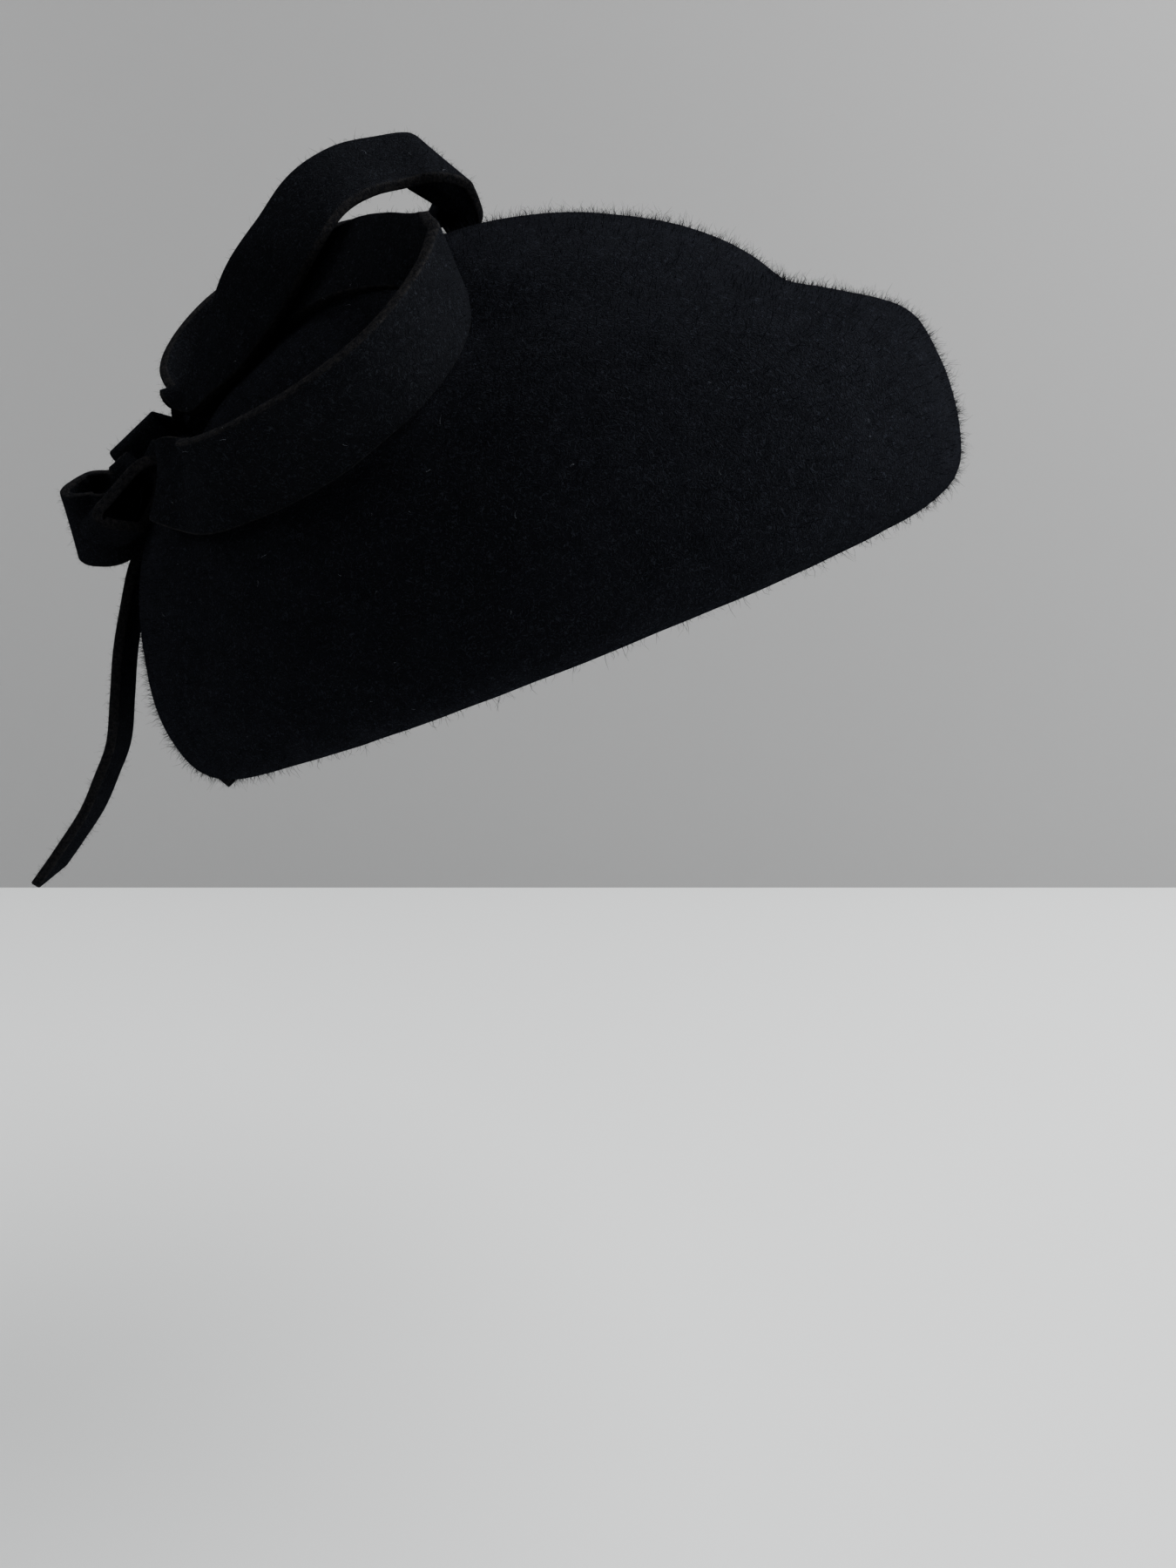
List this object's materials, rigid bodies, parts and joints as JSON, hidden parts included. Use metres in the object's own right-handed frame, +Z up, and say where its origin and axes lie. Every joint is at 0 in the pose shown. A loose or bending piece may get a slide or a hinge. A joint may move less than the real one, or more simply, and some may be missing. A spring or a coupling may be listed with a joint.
{
  "type": "pillbox hat",
  "caption": "Pillbox hat of black blocked felt with a low domed crown and a looped felt bow on the back, held as worn.",
  "frame": {"origin": "middle of the head opening, in the plane of the felt body's lower edge", "axes": "+X to the wearer's front, +Y to the wearer's left, +Z up; the hat is tipped back by 21.5 degrees about Y, as it is worn"},
  "size_m": [0.2418, 0.1753, 0.1862],
  "materials": {
    "felt_body_felt": "matte wool felt",
    "bow_loop_right_felt": "matte wool felt",
    "bow_loop_upper_felt": "matte wool felt",
    "bow_loop_left_felt": "matte wool felt",
    "small_loop_back_felt": "matte wool felt",
    "small_loop_right_felt": "matte wool felt",
    "tail_long_felt": "matte wool felt",
    "tail_short_felt": "matte wool felt",
    "knot_band_felt": "matte wool felt",
    "knot_core_felt": "matte wool felt"
  },
  "bodies": {
    "root": {"felt_body": "felt_body_felt", "bow_loop_right": "bow_loop_right_felt", "bow_loop_upper": "bow_loop_upper_felt", "bow_loop_left": "bow_loop_left_felt", "small_loop_back": "small_loop_back_felt", "small_loop_right": "small_loop_right_felt", "tail_long": "tail_long_felt", "tail_short": "tail_short_felt", "knot_band": "knot_band_felt", "knot_core": "knot_core_felt"}
  },
  "joints": []
}
